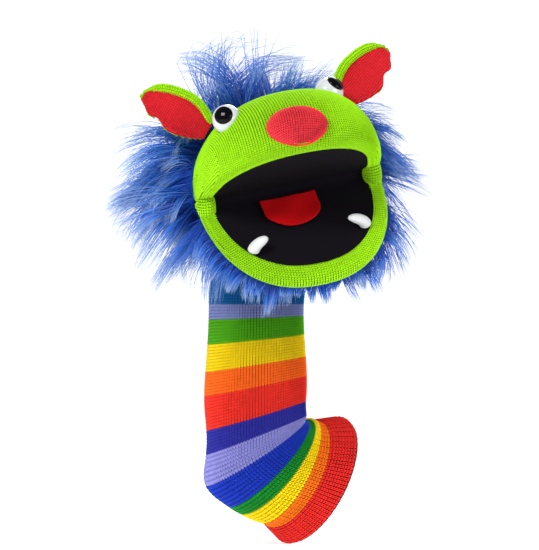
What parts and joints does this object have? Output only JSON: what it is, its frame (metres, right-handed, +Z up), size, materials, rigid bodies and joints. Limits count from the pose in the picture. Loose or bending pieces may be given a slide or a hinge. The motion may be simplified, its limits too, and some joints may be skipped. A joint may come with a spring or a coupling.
{
  "type": "sock puppet",
  "caption": "Knitted monster hand puppet with a striped arm sleeve, moving mouth, round nose, bat ears, fangs and long blue fur.",
  "frame": {"origin": "centre of the arm opening, in the plane of the cuff's rim", "axes": "+Z up along the forearm, the puppet looks along -Y, +X to the viewer's right"},
  "size_m": [0.2735, 0.2598, 0.4186],
  "materials": {
    "knit_lime": "matte",
    "knit_dark_lime": "matte",
    "knit_stripes": "matte",
    "knit_cuff": "matte",
    "knit_elbow": "matte",
    "knit_red": "matte",
    "knit_nose": "matte",
    "fur_blue": "matte",
    "felt_black": "matte",
    "felt_red": "matte",
    "felt_white": "satin",
    "eye_white": "gloss",
    "eye_black": "polished",
    "washer_plastic": "satin",
    "stiff_board": "matte",
    "stuffing": "matte"
  },
  "bodies": {
    "cuff": {"cuff_band": "knit_cuff", "lower_sleeve": "knit_stripes", "elbow_gusset": "knit_elbow"},
    "forearm": {"forearm_sleeve": "knit_stripes"},
    "wrist": {"wrist_sleeve": "knit_stripes", "tilt_gusset": "knit_stripes"},
    "neck": {"neck_band": "knit_stripes", "nod_gusset": "knit_stripes"},
    "head": {"face_knit": "knit_lime", "face_padding": "stuffing", "palate_lining": "felt_black", "palate_board": "stiff_board", "finger_pocket": "felt_black", "mouth_fold": "felt_black", "left_cheek_gusset": "knit_lime", "right_cheek_gusset": "knit_lime", "throat_gusset": "knit_dark_lime", "nose_cover": "knit_nose", "nose_stuffing": "stuffing", "left_eye_white": "eye_white", "right_eye_white": "eye_white", "left_pupil": "eye_black", "right_pupil": "eye_black", "left_eye_washer": "washer_plastic", "right_eye_washer": "washer_plastic", "left_fur_hood": "fur_blue", "right_fur_hood": "fur_blue"},
    "jaw": {"chin_knit": "knit_lime", "jaw_lining": "felt_black", "jaw_board": "stiff_board", "jaw_padding": "stuffing", "thumb_pocket": "felt_black", "beard": "fur_blue", "left_tooth": "felt_white", "right_tooth": "felt_white"},
    "tongue": {"tongue": "felt_red"},
    "left_ear": {"left_ear_front": "knit_red", "left_ear_back": "knit_lime"},
    "right_ear": {"right_ear_front": "knit_red", "right_ear_back": "knit_lime"}
  },
  "joints": [
    {"name": "elbow_bend", "type": "hinge", "parent": "cuff", "child": "forearm", "pos_m": [-0.046, -0.029, 0.036], "axis": [0.4782, -0.8783, 0], "range_deg": [-15, 50], "deforming": ["elbow_gusset"]},
    {"name": "wrist_turn", "type": "hinge", "parent": "forearm", "child": "wrist", "pos_m": [-0.0487, -0.032, 0.15], "axis": [0, 0, 1], "range_deg": [-35, 35]},
    {"name": "wrist_tilt", "type": "hinge", "parent": "wrist", "child": "neck", "pos_m": [-0.0483, -0.032, 0.1685], "axis": [0.225, -0.9744, 0], "range_deg": [-12, 12], "deforming": ["tilt_gusset"]},
    {"name": "wrist_nod", "type": "hinge", "parent": "neck", "child": "head", "pos_m": [-0.0474, -0.0335, 0.1935], "axis": [-0.9744, -0.225, 0], "range_deg": [-15, 18], "deforming": ["nod_gusset"]},
    {"name": "jaw_open", "type": "hinge", "parent": "head", "child": "jaw", "pos_m": [-0.0235, -0.098, 0.2465], "axis": [0.9565, 0.2208, 0.1908], "range_deg": [-48, 8], "deforming": ["throat_gusset", "left_cheek_gusset", "right_cheek_gusset", "mouth_fold"]},
    {"name": "tongue_lift", "type": "hinge", "parent": "jaw", "child": "tongue", "pos_m": [-0.02392, -0.10765, 0.23882], "axis": [-0.9565, -0.2208, -0.1908], "range_deg": [0, 35], "stiffness_Nm_per_rad": 0.004},
    {"name": "left_ear_fold", "type": "hinge", "parent": "head", "child": "left_ear", "pos_m": [-0.08769, -0.12943, 0.29243], "axis": [0.459, 0.329, 0.8253], "range_deg": [-15, 35], "stiffness_Nm_per_rad": 0.02},
    {"name": "right_ear_fold", "type": "hinge", "parent": "head", "child": "right_ear", "pos_m": [0.02066, -0.10345, 0.31792], "axis": [0.7808, -0.0562, -0.6223], "range_deg": [-15, 35], "stiffness_Nm_per_rad": 0.02}
  ]
}
